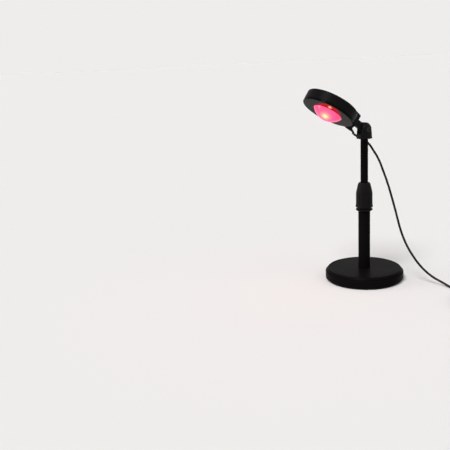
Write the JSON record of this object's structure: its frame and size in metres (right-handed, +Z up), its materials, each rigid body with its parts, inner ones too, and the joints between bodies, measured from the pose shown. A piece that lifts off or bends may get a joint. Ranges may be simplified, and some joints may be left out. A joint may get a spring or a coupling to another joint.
{
  "type": "desk lamp",
  "caption": "Small black lamp: round tilting head with a domed lens on a telescopic pole that slides, turns and clamps, on a round weighted base, with a cord, switch and plug",
  "frame": {"origin": "middle of the base on the surface it stands on, on the pole's axis", "axes": "+Z up along the pole; the head reaches out towards -Y; X is the axis the head tilts about"},
  "size_m": [0.2896, 0.2018, 0.2665],
  "materials": {
    "black_paint": "satin black powder coat",
    "black_aluminium": "satin black coated aluminium",
    "black_plastic": "fine matt black",
    "black_rubber": "matt black",
    "cord_jacket": "smooth black jacket",
    "cast_iron": "as cast",
    "black_steel": "black oxide",
    "zinc_steel": "zinc plated",
    "white_plastic": "natural moulded plastic",
    "bare_aluminium": "turned, uncoated",
    "clear_glass": "polished, clear",
    "red_glass": "red filter, polished",
    "board": "white solder mask",
    "phosphor": "yellow phosphor"
  },
  "bodies": {
    "stand": {"foot_pad": "black_rubber", "base_cover": "black_paint", "base_weight": "cast_iron", "pole_washer": "zinc_steel", "pole_screw": "zinc_steel", "lower_tube": "black_paint", "pole_insert": "zinc_steel", "thread_bush": "black_plastic", "split_collet": "white_plastic", "cord_lower_drop": "cord_jacket", "cord_floor": "cord_jacket", "cord_link": "cord_jacket", "cord_coil": "cord_jacket", "coil_tie": "black_rubber", "cord_tail": "cord_jacket", "switch_lower": "black_plastic", "switch_upper": "black_plastic", "usb_plug_body": "black_plastic", "usb_plug_shell": "zinc_steel", "usb_plug_tongue": "white_plastic"},
    "clutch": {"clutch_nut": "black_plastic"},
    "slider": {"guide_bush": "white_plastic", "cord_upper_drop": "cord_jacket"},
    "upper_pole": {"upper_tube": "black_paint", "knuckle_cap": "black_plastic", "hinge_bolt": "black_steel", "hinge_nut": "black_steel", "friction_washer_left": "white_plastic", "friction_washer_right": "white_plastic", "cord_lead": "cord_jacket"},
    "head": {"head_bracket": "black_plastic", "strain_relief": "black_rubber", "rear_housing": "black_aluminium", "front_bezel": "black_plastic", "lens": "clear_glass", "colour_filter": "red_glass", "light_chamber": "bare_aluminium", "heat_sink": "bare_aluminium", "led_board": "board", "led_chip": "phosphor", "board_screw_left": "zinc_steel", "board_screw_right": "zinc_steel", "housing_screw_1": "zinc_steel", "housing_screw_2": "zinc_steel", "housing_screw_3": "zinc_steel", "bracket_screw_left": "zinc_steel", "bracket_screw_right": "zinc_steel", "head_lead": "white_plastic"},
    "button": {"switch_button": "black_plastic"}
  },
  "joints": [
    {"name": "pole_slide", "type": "slide", "parent": "stand", "child": "slider", "axis": [0, 0, 1], "range_m": [-0.057, 0.018], "deforming": ["cord_lower_drop"]},
    {"name": "pole_swivel", "type": "hinge", "parent": "slider", "child": "upper_pole", "pos_m": [0, 0, 0.1], "axis": [0, 0, 1], "range_deg": [-90, 90], "deforming": ["cord_upper_drop"]},
    {"name": "head_tilt", "type": "hinge", "parent": "upper_pole", "child": "head", "pos_m": [0, 0, 0.208], "axis": [-1, 0, 0], "range_deg": [-35, 55], "deforming": ["cord_lead"]},
    {"name": "clutch_turn", "type": "hinge", "parent": "stand", "child": "clutch", "pos_m": [0, 0, 0.12], "axis": [0, 0, 1], "range_deg": [0, 120]},
    {"name": "button_press", "type": "slide", "parent": "stand", "child": "button", "axis": [0, 0, 1], "range_m": [-0.0012, 0], "stiffness_N_per_m": 800, "springref_m": 0.0008}
  ]
}
